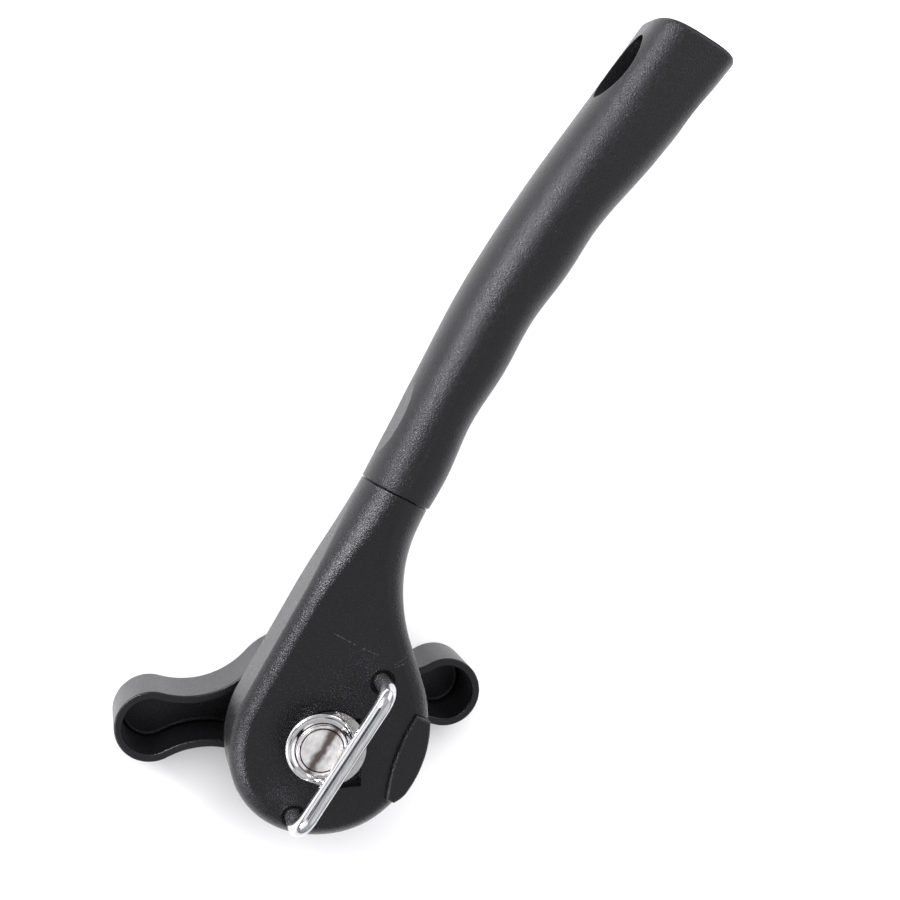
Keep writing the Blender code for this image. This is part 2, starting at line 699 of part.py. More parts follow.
def hang_hole_cutter():
    """An oval bar that runs across the grip, along Y."""
    middle, length, height = HANG_HOLE
    bar = cylinder("hang_hole_cutter", 1.0, -30, 30, steps=36)
    bar.scale = (length / 2, height / 2, 1)
    bar.rotation_euler = (radians(90), 0, 0)
    bar.location = (middle * MM, 0, HANG_HOLE_Z * MM)
    return bar


def core_socket(name, start, end):
    low = (start, CORE_Y[0] - FIT, CORE_Z[0] - FIT)
    high = (end, CORE_Y[1] + FIT, CORE_Z[1] + FIT)
    return block(name, low, high)


def handle_core():
    """The stiff bar that ties the head to the grip."""
    corners = tuple(zip(CORE_X, CORE_Y, CORE_Z))
    core = block("handle_core", corners[0], corners[1], DARK, edge=0.8)
    for i, x in enumerate(CORE_SCREWS):
        low, high = CORE_Z[0] - 1, CORE_Z[0] + PILOT_DEPTH
        pilot = cylinder(f"core_pilot_{i}", SCREW_RADIUS + FIT, low, high, (x, CORE_SCREW_Y), steps=16)
        boolean(core, pilot)
    return core


# ---------------------------------------------------------------- assembly


def empty(name, at, parent=None):
    axis = bpy.data.objects.new(name, None)
    PARTS.objects.link(axis)
    axis.empty_display_size = 0.01
    axis.parent = parent
    axis.location = (at[0] * MM, at[1] * MM, 0)
    return axis


def build():
    housing = head_housing()
    stop_hole(housing)
    back_cover()
    for i, (x, y) in enumerate(COVER_SCREWS):
        screw(f"cover_screw_{i + 1}", x, y, COVER_Z[0])
    rim_ledge()
    wire_guide()
    washer("front_bush", *BUSH_RADII, *FRONT_BUSH_Z, BRONZE, at=CARRIER)
    washer("rear_bush", *BUSH_RADII, *REAR_BUSH_Z, BRONZE, at=CARRIER)
    stop_pin()
    handle_core()
    grip()
    screw("neck_screw", CORE_SCREWS[0], CORE_SCREW_Y, HEAD_Z[0])
    screw("grip_screw", CORE_SCREWS[1], CORE_SCREW_Y, HANDLE_Z - 10)

    carrier_axis = empty("carrier_axis", CARRIER)
    eccentric_carrier(carrier_axis)
    washer("friction_washer", BUSH_RADII[0], BORE_RADIUS + 0.6, *FRICTION_Z, STEEL, parent=carrier_axis)
    washer("carrier_clip", CARRIER_RADIUS - 0.35, 8.9, *CLIP_Z, STEEL, parent=carrier_axis)

    spindle_axis = empty("spindle_axis", (SPINDLE[0] - CARRIER[0], SPINDLE[1] - CARRIER[1]), carrier_axis)
    drive_shaft(spindle_axis)
    feed_wheel(spindle_axis)
    wheel_cap(spindle_axis)
    washer("knob_washer", SHAFT_RADIUS + FIT, 5.5, *KNOB_WASHER_Z, STEEL, parent=spindle_axis)
    knob(spindle_axis)

    cutter_axis = empty("cutter_axis", SPINDLE, spindle_axis)
    cutter_wheel(cutter_axis)


clear_scene()
PARTS = new_collection("can_opener")
TOOLS = new_collection("cutters")
BLACK = material("black_plastic", (0.012, 0.012, 0.014), 0.45)
DARK = material("core_plastic", (0.05, 0.05, 0.055), 0.6)
STEEL = material("steel", (0.62, 0.61, 0.60), 0.3, 1.0)
CHROME = material("polished_steel", (0.80, 0.79, 0.77), 0.12, 1.0)
BRUSHED = material("brushed_steel", (0.66, 0.63, 0.60), 0.32, 1.0)
BRONZE = material("bronze", (0.55, 0.38, 0.20), 0.4, 1.0)
build()
bpy.context.view_layer.update()
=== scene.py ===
"""The looks of a side-cutting can opener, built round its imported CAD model.

Lengths in this file are millimetres in the CAD frame: +Z is the spindle's axis, from the knob to the
cutting side, and +X runs along the handle. MM turns them into Blender's metres.
"""

import json
from math import acos, cos, degrees, pi, radians, sin, sqrt, tan

import bmesh
import bpy
from mathutils import Matrix, Vector


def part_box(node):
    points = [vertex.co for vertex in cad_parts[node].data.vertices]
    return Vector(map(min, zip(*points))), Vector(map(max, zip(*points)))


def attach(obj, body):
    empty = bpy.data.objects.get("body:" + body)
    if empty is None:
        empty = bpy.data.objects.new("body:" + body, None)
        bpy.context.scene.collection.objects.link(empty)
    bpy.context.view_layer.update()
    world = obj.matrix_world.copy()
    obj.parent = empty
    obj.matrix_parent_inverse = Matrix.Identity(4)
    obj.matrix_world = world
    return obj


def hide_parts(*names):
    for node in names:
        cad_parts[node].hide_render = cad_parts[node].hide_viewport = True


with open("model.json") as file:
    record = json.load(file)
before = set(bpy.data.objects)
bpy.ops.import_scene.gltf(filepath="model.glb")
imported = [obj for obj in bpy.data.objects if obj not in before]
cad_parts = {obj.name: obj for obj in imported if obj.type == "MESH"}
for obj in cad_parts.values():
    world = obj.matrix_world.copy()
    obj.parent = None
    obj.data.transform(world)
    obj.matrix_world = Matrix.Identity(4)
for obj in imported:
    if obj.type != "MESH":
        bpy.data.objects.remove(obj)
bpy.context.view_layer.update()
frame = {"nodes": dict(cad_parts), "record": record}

MM = 0.001
FIT = 0.15  # gap between a piece and the seat it is pressed into
RUN = 0.25  # gap between pieces that turn on each other


def heights(node):
    """Lowest and highest Z of a CAD node, in millimetres."""
    low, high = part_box(node)
    return low.z / MM, high.z / MM


# ---------------------------------------------------------------- sizes of the opener

# Most are the CAD model's own. The rounds, lips, grooves and ridges are finer here than there.
HEAD_Z = heights("head_housing")
KNOB_Z = heights("knob")
COVER_Z = heights("back_cover")
LEDGE_Z = heights("rim_ledge")
CARRIER_Z = heights("eccentric_carrier")
FEED_Z = heights("feed_wheel")
CUTTER_Z = heights("cutter_wheel")
CAP_Z = heights("wheel_cap")
GRIP_X = (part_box("grip")[0].x / MM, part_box("grip")[1].x / MM)
HANDLE_Z = 32.55

# Head outline: two arcs round the head, a slanted line and a hollow arc into the neck
CARRIER = (-0.15, -2.95)  # the carrier's axis, which is also the middle of the head
HEAD_RADIUS = 22.4
UPPER_SLOPE = 2.6
HEAD_FULLNESS = (96.0, 212.0, 0.85)  # first and last direction of the fuller side, and its swell
BLEND_ANGLE = 246.2
BLEND_RADIUS = 28.0
NECK_SLANT = 44.6
HOLLOW_RADIUS = 35.0
NECK_LOWER_Y = -0.15
SEAM_X = 58.9
EDGE_ROUND = 3.8  # 3.4 in the CAD model
EDGE_FLATNESS = 1.25  # 1 for a quarter circle, more for a flatter round
NECK_ROUND = (8.2, 9.6)
NECK_START_X = 28.0
HEAD_WALL = 3.2
CAVITY_END_X = 34.0
BORE_RADIUS = 8.65
BOSS_RADIUS = 10.8
BOSS_DEPTH = 9.5
POST_RADIUS = 3.0
PILOT_DEPTH = 10.0
WIRE_POST = 8.0

# Cover and its screws
COVER_INSET = 3.9
COVER_END_X = 42.0
COVER_ROUND = 1.2
COVER_PLATE = 3.6
WASHER_SEAT = (0.8, 1.2)  # width round the bore, and depth
COVER_SCREWS = ((-12.4, 5.8), (-9.6, -14.7), (15.4, -13.0), (29.4, 9.0))
SCREW_HEAD = (2.4, 1.2)  # radius and thickness
SCREW_RADIUS = 1.1

# Carrier and what turns in it
FLANGE_DEPTH = 2.0
FLANGE_RADIUS = 8.6
FLANGE_FLAT = (7.1, -16.5)  # distance of the flat from the carrier's axis, and its direction
FLANGE_ROUND = 0.45
CLIP_GROOVE = 0.5
CLIP_GAP = 0.1
CARRIER_RADIUS = 7.6
CLIP_Z = heights("carrier_clip")
SHAFT_RADIUS = 2.5
FEED_RADII = (6.3, 6.9)
FEED_TEETH = 26
CUTTER_RADIUS = 8.2
DISC_DISH = 0.32  # depth of the hollow-ground bevel
DISC_LIP = (0.62, 0.68)  # width and depth of the round lip at its edge
CAP_RADIUS = 6.0
CAP_FACE = 5.0
# Groove round the cap's face: steps outwards from CAP_FACE and upwards from the top
CAP_GROOVE = ((-0.12, -0.12), (-0.04, -0.55), (0.1, -0.55), (0.2, -0.2), (0.32, -0.08), (0.45, -0.02))
CAP_THICKNESS = 0.8
CAP_ROUND = 0.25
CAP_STEM_RADIUS = 1.2

# Window beside the wheels, square to its own direction
WINDOW_SIZE = (16.4, 9.4)
WINDOW_DEPTH = 2.5
WINDOW_CENTRE = (-0.45, -6.45)
WINDOW_TURN = 27.7
WINDOW_CORNER = 0.5

# Ledge that holds the rim of the can
LEDGE_X = (-6.0, 15.0)
LEDGE_ARC = ((9.85, -60.05), 42.0)  # centre and radius of the side towards the wheels
LEDGE_PROUD = -0.4
LEDGE_TUCK = (0.9, 3.5)  # how far its low end is tucked in, and over what length
LEDGE_ROUND = 0.8

# Wire guide, a staple across the wheels
WIRE_RADIUS = 2.0
WIRE_LEGS = ((18.7, -7.45), (-18.55, -3.2))
WIRE_HOLE = 3.0
WIRE_FIT = 0.1
# Mouth of the hole round each leg: steps outwards from WIRE_HOLE and upwards from the face
WIRE_MOUTH = ((0.6, 0.3), (0.12, -0.02), (-0.02, -0.2))
DIMPLE_DEPTH = 1.0
WIRE_BEND = 4.2
WIRE_Z = heights("wire_guide")[1] - WIRE_RADIUS
WIRE_ROOT_Z = heights("wire_guide")[0]

# Knob: a hub and two round ends joined by hollow arcs
KNOB_TURN = -59.3
KNOB_HUB = 16.8
KNOB_END = 8.8
KNOB_REACH = 36.8
KNOB_WAIST = 6.6
KNOB_WALL = 2.0
KNOB_FLOOR = 2.2
KNOB_BOSS = 6.5
KNOB_BOSS_TOP = 12.5
KNOB_RIB_TOP = 9.0
KNOB_EDGE = 1.2
KNOB_RIM = 0.45
KNOB_RIB_HALF = 0.8
KNOB_FILLET = 1.0
HEX_FLATS = 4.4
SOCKET_FLOOR = 3.6

# Grip: upper and lower edges, half depth and squareness at stations along X
GRIP_UPPER = ((59, 16.8), (82, 16.75), (110, 16.45), (137, 13.8), (166, 9.05), (191, 4.75))
GRIP_LOWER = ((59, -0.25), (82, -0.15), (110, -2.05), (137, -5.85), (157, -10.95), (191, -17.55))
GRIP_DEPTH = ((59, 9.95), (82, 10.2), (110, 10.7), (137, 11.0), (166, 11.1), (191, 11.1))
GRIP_POWER = ((59, 2.2), (137, 2.2), (166, 2.5), (191, 3.3))
FINGER_PITCH = 27.5
FINGER_START_X = 54.5
FINGER_COUNT = 3
FINGER_DEPTH = 0.75
GRIP_CORNER = 1.4
GRIP_SEAM_ROUND = 0.35
GRIP_SLICES = 140
GRIP_POINTS = 120
HANG_HOLE = (172.2, 18.3, 10.1)  # centre along X, length, height
HANG_HOLE_Z = 34.5
PARTING_RIDGE = 0.05
SCOOP = (75.2, 60.0, 0.75)  # centre along X, radius and depth of the thumb scoop

# Core bar inside the neck and the grip, and the two screws that hold it
CORE_X = (37.0, 128.0)
CORE_Y = (3.65, 12.95)
CORE_Z = (26.5, 38.6)
CORE_SCREWS = (48.0, 68.0)
CORE_SCREW_Y = 8.3
GRIP_SCREW_Z = HANDLE_Z - 10


# ---------------------------------------------------------------- where pieces go

BODY_OF = {node: body for body, nodes in frame["record"]["behaviour"]["bodies"].items() for node in nodes}


def stands_for(piece, node, look):
    """Give a piece its material and put it in a CAD node's place."""
    piece.data.materials.clear()
    piece.data.materials.append(look)
    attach(piece, BODY_OF[node])
    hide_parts(node)
    return piece


def link(name, mesh):
    piece = bpy.data.objects.new(name, mesh)
    bpy.context.scene.collection.objects.link(piece)
    return piece


def apply_modifiers(piece):
    """Bake a piece's modifiers and its placement into its mesh."""
    depsgraph = bpy.context.evaluated_depsgraph_get()
    mesh = bpy.data.meshes.new_from_object(piece.evaluated_get(depsgraph))
    mesh.transform(piece.matrix_world)
    piece.modifiers.clear()
    piece.data = mesh
    piece.matrix_world = Matrix.Identity(4)
    return piece


def shade(piece, angle=32):
    piece.data.shade_smooth()
    piece.data.set_sharp_from_angle(angle=radians(angle))
    even = piece.modifiers.new("Even shading", "WEIGHTED_NORMAL")
    even.keep_sharp = True
    return piece


def soften(piece, width, segments=3, angle=30):
    """Round a piece's sharp edges."""
    weld = piece.modifiers.new("Weld", "WELD")
    weld.merge_threshold = 0.000002
    bevel = piece.modifiers.new("Bevel", "BEVEL")
    bevel.width = width * MM
    bevel.segments = segments
    bevel.limit_method = "ANGLE"
    bevel.angle_limit = radians(angle)
    bevel.harden_normals = False
    return piece


# ---------------------------------------------------------------- mesh tools


def mesh_of(shape, name):
    mesh = bpy.data.meshes.new(name)
    bmesh.ops.recalc_face_normals(shape, faces=shape.faces)
    shape.to_mesh(mesh)
    shape.free()
    return mesh


def loft(name, rings):
    """Skin closed rings that have the same number of points, and cap both ends."""
    shape = bmesh.new()
    loops = [[shape.verts.new([value * MM for value in point]) for point in ring] for ring in rings]
    for lower, upper in zip(loops, loops[1:]):
        for i in range(len(lower)):
            j = (i + 1) % len(lower)
            shape.faces.new((lower[i], lower[j], upper[j], upper[i]))
    shape.faces.new(list(reversed(loops[0])))
    shape.faces.new(loops[-1])
    return link(name, mesh_of(shape, name))


def flat_ring(outline, z):
    return [(x, y, z) for x, y in outline]


def prism(name, outline, low, high):
    return loft(name, [flat_ring(outline, low), flat_ring(outline, high)])


def turned(name, profile, steps=96, at=(0, 0), closed=False):
    """Turn a profile of (radius, height) points about Z. An open profile starts and ends on the axis."""
    shape = bmesh.new()
    rings = []
    for radius, z in profile:
        turns = [2 * pi * i / steps for i in range(steps)] if radius else [0]
        spots = [(at[0] + radius * cos(a), at[1] + radius * sin(a), z) for a in turns]
        rings.append([shape.verts.new([value * MM for value in spot]) for spot in spots])
    pairs = list(zip(rings, rings[1:]))
    if closed:
        pairs.append((rings[-1], rings[0]))
    for one, other in pairs:
        for i in range(steps):
            j = (i + 1) % steps
            corners = [one[i % len(one)], one[j % len(one)], other[j % len(other)], other[i % len(other)]]
            unique = list(dict.fromkeys(corners))
            if len(unique) > 2:
                shape.faces.new(unique)
    return link(name, mesh_of(shape, name))


def cylinder(name, radius, low, high, at=(0, 0), steps=96):
    return turned(name, [(0, high), (radius, high), (radius, low), (0, low)], steps, at)


def block(name, low, high):
    shape = bmesh.new()
    bmesh.ops.create_cube(shape, size=MM)
    size = [b - a for a, b in zip(low, high)]
    bmesh.ops.scale(shape, vec=size, verts=shape.verts)
    piece = link(name, mesh_of(shape, name))
    piece.location = [(a + b) / 2 * MM for a, b in zip(low, high)]
    return piece


def cut(target, tool, operation="DIFFERENCE"):
    """Cut a tool out of a piece, or join it to the piece, and remove the tool."""
    change = target.modifiers.new("Cut", "BOOLEAN")
    change.operation = operation
    change.solver = "EXACT"
    change.object = tool
    bpy.context.view_layer.update()
    apply_modifiers(target)
    bpy.data.objects.remove(tool, do_unlink=True)


def join(target, tool):
    cut(target, tool, "UNION")


def arc(centre, radius, start, end, steps):
    """Points on a circle from one direction to another, in degrees, both ends included."""
    turns = [radians(start + (end - start) * i / steps) for i in range(steps + 1)]
    return [(centre[0] + radius * cos(a), centre[1] + radius * sin(a)) for a in turns]


def rounding(size, step):
    """Insets and drops of a quarter round in steps of so many degrees, from its foot to its top."""
    turns = range(0, 91, step)
    return [(size * (1 - cos(radians(a))), size * (1 - sin(radians(a)))) for a in turns]


def curve_through(points, x):
    """Value at x of a smooth curve through (x, value) points."""
    last = len(points) - 1
    i = max(k for k in range(last) if points[k][0] <= x or k == 0)
    (x0, y0), (x1, y1) = points[i], points[i + 1]
    before, after = points[max(i - 1, 0)], points[min(i + 2, last)]
    span = x1 - x0
    slope0 = (y1 - before[1]) / (x1 - before[0]) * span
    slope1 = (after[1] - y0) / (after[0] - x0) * span
    t = (x - x0) / span
    rise = y0 * (2 * t**3 - 3 * t**2 + 1) + y1 * (3 * t**2 - 2 * t**3)
    return rise + slope0 * (t**3 - 2 * t**2 + t) + slope1 * (t**3 - t**2)


# ---------------------------------------------------------------- materials

PAINTED_BAND_HALF = 1.05  # half width of the dark band on the cap, a painted reflection, and the direction across it
PAINTED_BAND_ACROSS = (0.113, 0.994, 0)
# Start and end of each faint line on the head's face
HEAD_SCRATCHES = (
    ((24.3, 8.95), (24.0, 2.6)),
    ((23.9, 0.6), (24.0, -3.35)),
    ((26.6, -10.2), (23.6, -8.1)),
    ((25.2, -10.6), (22.9, -8.3)),
)


class Nodes:
    """A node tree, and short ways to add nodes that work from a place in it."""

    def __init__(self, tree, place):
        self.tree = tree
        self.place = self.node("ShaderNodeTexCoord").outputs[place]

    def node(self, kind, **settings):
        found = self.tree.nodes.new(kind)
        for key, value in settings.items():
            setattr(found, key, value)
        return found

    def wire(self, start, end):
        self.tree.links.new(start, end)

    def noise(self, scale, detail=2.0, stretch=None, roughness=0.5):
        """Noise of about 1/scale metres, optionally stretched along the object's axes."""
        found = self.node("ShaderNodeTexNoise")
        found.inputs["Scale"].default_value = scale
        found.inputs["Detail"].default_value = detail
        found.inputs["Roughness"].default_value = roughness
        place = self.place
        if stretch:
            mapping = self.node("ShaderNodeMapping")
            mapping.inputs["Scale"].default_value = stretch
            self.wire(self.place, mapping.inputs["Vector"])
            place = mapping.outputs["Vector"]
        self.wire(place, found.inputs["Vector"])
        return found.outputs["Fac"]

    def span(self, value, low, high, start=0.3, end=0.7):
        """Map a value between start and end to the range from low to high."""
        found = self.node("ShaderNodeMapRange")
        found.inputs["From Min"].default_value = start
        found.inputs["From Max"].default_value = end
        found.inputs["To Min"].default_value = low
        found.inputs["To Max"].default_value = high
        self.wire(value, found.inputs["Value"])
        return found.outputs["Result"]

    def mix(self, factor, one, other):
        found = self.node("ShaderNodeMix", data_type="RGBA")
        self.wire(factor, found.inputs["Factor"])
        found.inputs["A"].default_value = (*one, 1)
        found.inputs["B"].default_value = (*other, 1)
        return found.outputs["Result"]

    def mottled(self, scale, detail, one, other):
        """A colour that drifts between two, in clouds of about 1/scale metres."""
        return self.mix(self.span(self.noise(scale, detail), 0, 1), one, other)

    def blend(self, factor, under, colour):
        """Lay a colour over an earlier colour where the factor is high."""
        found = self.node("ShaderNodeMix", data_type="RGBA")
        self.wire(factor, found.inputs["Factor"])
        self.wire(under, found.inputs["A"])
        found.inputs["B"].default_value = (*colour, 1)
        return found.outputs["Result"]

    def maths(self, operation, one, other, third=None):
        """One arithmetic step on values, each of them a node's output or a number."""
        found = self.node("ShaderNodeMath", operation=operation)
        for socket, value in zip(found.inputs, (one, other, third)):
            if isinstance(value, (int, float)):
                socket.default_value = value
            elif value is not None:
                self.wire(value, socket)
        return found.outputs[0]

    def along(self, direction):
        """How far the place lies along a direction."""
        found = self.node("ShaderNodeVectorMath", operation="DOT_PRODUCT")
        found.inputs[1].default_value = direction
        self.wire(self.place, found.inputs[0])
        return found.outputs["Value"]

    def ring(self, radius, half_width):
        """One on a circle round the spindle, fading to nought within half_width millimetres."""
        flat = self.node("ShaderNodeVectorMath", operation="MULTIPLY")
        flat.inputs[1].default_value = (1, 1, 0)
        self.wire(self.place, flat.inputs[0])
        length = self.node("ShaderNodeVectorMath", operation="LENGTH")
        self.wire(flat.outputs["Vector"], length.inputs[0])
        away = self.maths("ABSOLUTE", self.maths("SUBTRACT", length.outputs["Value"], radius * MM), 0)
        return self.span(away, 1, 0, half_width * 0.4 * MM, half_width * MM)

    def scratch(self, start, end, width=0.16):
        """One on a broken line between two (x, y) points on a face that looks along Z, nought elsewhere."""
        (x0, y0), (x1, y1) = start, end
        length = sqrt((x1 - x0) ** 2 + (y1 - y0) ** 2)
        ux, uy = (x1 - x0) / length, (y1 - y0) / length
        middle = ((x0 + x1) * ux + (y0 + y1) * uy) / 2
        offset = x0 * -uy + y0 * ux
        inside = self.maths("COMPARE", self.along((ux, uy, 0)), middle * MM, length / 2 * MM)
        near = self.maths("COMPARE", self.along((-uy, ux, 0)), offset * MM, width / 2 * MM)
        broken = self.span(self.noise(1300, 2), 0, 0.7, 0.42, 0.62)
        return self.maths("MULTIPLY", self.maths("MULTIPLY", inside, near), broken)

    def bump(self, height, depth, strength=1.0, under=None):
        """A bump of so many millimetres, over another normal if one is given."""
        found = self.node("ShaderNodeBump")
        found.inputs["Distance"].default_value = depth * MM
        found.inputs["Strength"].default_value = strength
        self.wire(height, found.inputs["Height"])
        if under is not None:
            self.wire(under, found.inputs["Normal"])
        return found.outputs["Normal"]

    def rounded(self, radius):
        """A normal that reads as a small radius on sharp edges."""
        found = self.node("ShaderNodeBevel", samples=6)
        found.inputs["Radius"].default_value = radius * MM
        return found.outputs["Normal"]


class Look(Nodes):
    """A material with its Principled shader."""

    def __init__(self, name, colour, roughness, metallic=0.0):
        self.material = bpy.data.materials.new(name)
        self.material.use_nodes = True
        super().__init__(self.material.node_tree, "Object")
        self.shader = self.tree.nodes["Principled BSDF"]
        self.shader.inputs["Base Color"].default_value = (*colour, 1)
        self.shader.inputs["Roughness"].default_value = roughness
        self.shader.inputs["Metallic"].default_value = metallic

    def normal(self, output):
        self.wire(output, self.shader.inputs["Normal"])

    def use(self, socket, output):
        self.wire(output, self.shader.inputs[socket])


def moulded_plastic(name, dullest, grain_depth, scratches=(), dull_from=None):
    """Black moulded plastic with a fine spark-eroded grain, and scratches if any are given."""
    look = Look(name, (0.002, 0.002, 0.0025), 0.35)
    look.shader.inputs["IOR"].default_value = 1.48
    look.shader.inputs["Specular Tint"].default_value = (0.96, 0.945, 1.0, 1)
    look.shader.inputs["Sheen Weight"].default_value = 0.04
    look.shader.inputs["Sheen Roughness"].default_value = 0.3
    look.shader.inputs["Sheen Tint"].default_value = (0.95, 0.95, 1.0, 1)
    colour = look.mottled(60, 3, (0.0017, 0.0017, 0.0021), (0.0025, 0.0025, 0.003))
    rough = look.span(look.noise(3000, 1), dullest - 0.16, dullest)
    grain = look.noise(3100, 1.5, roughness=0.6)
    first = look.bump(look.noise(900, 2), 0.03, 0.5, look.rounded(0.3))
    look.normal(look.bump(grain, grain_depth, 1.0, first))
    if scratches:
        marks = None
        for start, end in scratches:
            mark = look.scratch(start, end)
            marks = mark if marks is None else look.maths("MAXIMUM", marks, mark)
        colour = look.blend(marks, colour, (0.10, 0.10, 0.105))
    if dull_from:
        end = look.span(look.along((1, 0, 0)), 0, 0.95, dull_from * MM, (dull_from + 0.4) * MM)
        rough = look.maths("MAXIMUM", rough, end)
    look.use("Base Color", colour)
    look.use("Roughness", rough)
    return look.material


def core_plastic():
    look = Look("core_plastic", (0.05, 0.05, 0.055), 0.6)
    look.use("Roughness", look.span(look.noise(300), 0.5, 0.7))
    look.use("Base Color", look.mottled(200, 3, (0.042, 0.042, 0.047), (0.06, 0.06, 0.065)))
    look.normal(look.bump(look.noise(1500), 0.02, 0.6))
    return look.material


def drawn_wire():
    """Plated wire: bright and a little milky, with marks along it from drawing."""
    look = Look("drawn_wire", (0.62, 0.62, 0.63), 0.08, 0.94)
    look.use("Roughness", look.span(look.noise(900, 4), 0.03, 0.10))
    streaks = look.noise(2600, 3, (0.12, 1, 1))
    look.use("Base Color", look.mix(look.span(streaks, 0, 1), (0.50, 0.50, 0.515), (0.74, 0.74, 0.75)))
    look.normal(look.bump(streaks, 0.012, 0.35))
    return look.material


def polished_steel():
    """The plated disc: mirror bright, with painted shadow round the cap's foot and patches of painted dark
    reflection inside its lip.
    """
    look = Look("polished_steel", (0.8, 0.8, 0.8), 0.1, 1.0)
    look.use("Roughness", look.span(look.noise(900, 4), 0.04, 0.12))
    plain = look.mottled(1500, 4, (0.70, 0.70, 0.70), (0.86, 0.86, 0.855))
    # Painted shadow round the foot of the cap, and patches of painted dark reflection just inside the lip
    foot = look.ring(CAP_RADIUS + 0.12, 0.2)
    patches = look.span(look.noise(230, 1), 0, 1, 0.42, 0.58)
    lip = look.maths("MULTIPLY", look.ring(CUTTER_RADIUS - 0.85, 0.22), patches)
    look.use("Base Color", look.blend(look.maths("MAXIMUM", foot, lip), plain, (0.035, 0.032, 0.03)))
    look.normal(look.bump(look.noise(1100, 3), 0.012, 0.3))
    return look.material


def ground_steel():
    look = Look("steel", (0.62, 0.61, 0.60), 0.28, 1.0)
    look.use("Roughness", look.span(look.noise(900, 3), 0.22, 0.36))
    look.use("Base Color", look.mottled(600, 3, (0.54, 0.53, 0.52), (0.68, 0.67, 0.66)))
    look.normal(look.bump(look.noise(1200, 2), 0.01, 0.4))
    return look.material


def turned_steel():
    """A turned face: fine rings round the spindle, a dark band across it that is a painted reflection, and
    painted shade in its groove and at its edge.
    """
    look = Look("brushed_steel", (0.82, 0.80, 0.78), 0.4, 1.0)
    look.shader.inputs["Anisotropic"].default_value = 0.45
    look.shader.inputs["Anisotropic Rotation"].default_value = 0.25
    tangent = look.node("ShaderNodeTangent", direction_type="RADIAL", axis="Z")
    look.use("Tangent", tangent.outputs["Tangent"])
    rings = look.node("ShaderNodeTexWave", wave_type="RINGS", rings_direction="Z")
    rings.inputs["Scale"].default_value = 900
    rings.inputs["Distortion"].default_value = 0.6
    rings.inputs["Detail"].default_value = 2
    look.wire(look.place, rings.inputs["Vector"])
    look.use("Roughness", look.span(look.noise(500, 3), 0.34, 0.46))
    plain = look.mottled(500, 4, (0.72, 0.695, 0.675), (0.97, 0.955, 0.94))
    # The dark band across the face is a painted reflection, not a rubbed mark
    across = look.maths("ABSOLUTE", look.along(PAINTED_BAND_ACROSS), 0)
    ragged = look.maths("MULTIPLY", look.maths("SUBTRACT", look.noise(420, 4), 0.5), 0.0026)
    edge = look.maths("ADD", across, ragged)
    streak = look.span(edge, 1, 0, PAINTED_BAND_HALF * 0.35 * MM, PAINTED_BAND_HALF * 1.5 * MM)
    with_painted_band = look.blend(streak, plain, (0.16, 0.135, 0.125))
    # Painted shade in the face's groove and painted shadow along the cap's outer edge
    grooves = look.maths("MAXIMUM", look.ring(CAP_FACE + 0.08, 0.2), look.ring(CAP_RADIUS, 0.16))
    look.use("Base Color", look.blend(grooves, with_painted_band, (0.05, 0.045, 0.04)))
    look.normal(look.bump(rings.outputs["Fac"], 0.006, 0.5))
    return look.material


def sintered_bronze():
    look = Look("bronze", (0.55, 0.38, 0.20), 0.42, 1.0)
    look.use("Roughness", look.span(look.noise(800, 3), 0.35, 0.55))
    look.use("Base Color", look.mottled(700, 3, (0.46, 0.31, 0.16), (0.62, 0.43, 0.23)))
    look.normal(look.bump(look.noise(1600), 0.015, 0.5))
    return look.material


# ---------------------------------------------------------------- head


def head_outline(inset, x_end=SEAM_X, fineness=4):
    """The head's plan outline, moved inwards by inset and cut off square at x_end."""
    top = CARRIER[1] + HEAD_RADIUS / cos(radians(UPPER_SLOPE))
    count = 12 * fineness
    stations = [x_end * (1 - i / count) for i in range(count)]
    upper = [(x, top - x * tan(radians(UPPER_SLOPE)) - inset) for x in stations]
    head = round_side(inset, 26 * fineness)
    bx, by = blend_centre()
    lower = arc((bx, by), BLEND_RADIUS - inset, BLEND_ANGLE, 270 + NECK_SLANT, 11 * fineness)[1:]
    hollow_y = NECK_LOWER_Y - HOLLOW_RADIUS
    reach = BLEND_RADIUS + HOLLOW_RADIUS
    hollow_x = bx + (reach + cos(radians(NECK_SLANT)) * (hollow_y - by)) / sin(radians(NECK_SLANT))
    radius = HOLLOW_RADIUS + inset
    end = 90 if x_end >= hollow_x else degrees(acos((x_end - hollow_x) / radius))
    neck = arc((hollow_x, hollow_y), radius, 90 + NECK_SLANT, end, 10 * fineness)
    if x_end > hollow_x:
        neck += [(hollow_x + (x_end - hollow_x) * i / 4, NECK_LOWER_Y + inset) for i in range(1, 5)]
    return upper + head + lower + neck


def round_side(inset, steps):
    """The arc round the spindle, which swells a little on the side away from the ledge."""
    start, end = 90 - UPPER_SLOPE, BLEND_ANGLE
    low, high, swell = HEAD_FULLNESS
    points = []
    for i in range(steps + 1):
        direction = start + (end - start) * i / steps
        share = min(max((direction - low) / (high - low), 0), 1)
        radius = HEAD_RADIUS - inset + swell * sin(pi * share) ** 2
        turn = radians(direction)
        points.append((CARRIER[0] + radius * cos(turn), CARRIER[1] + radius * sin(turn)))
    return points


def blend_centre():
    gap = BLEND_RADIUS - HEAD_RADIUS
    turn = radians(BLEND_ANGLE)
    return CARRIER[0] - gap * cos(turn), CARRIER[1] - gap * sin(turn)


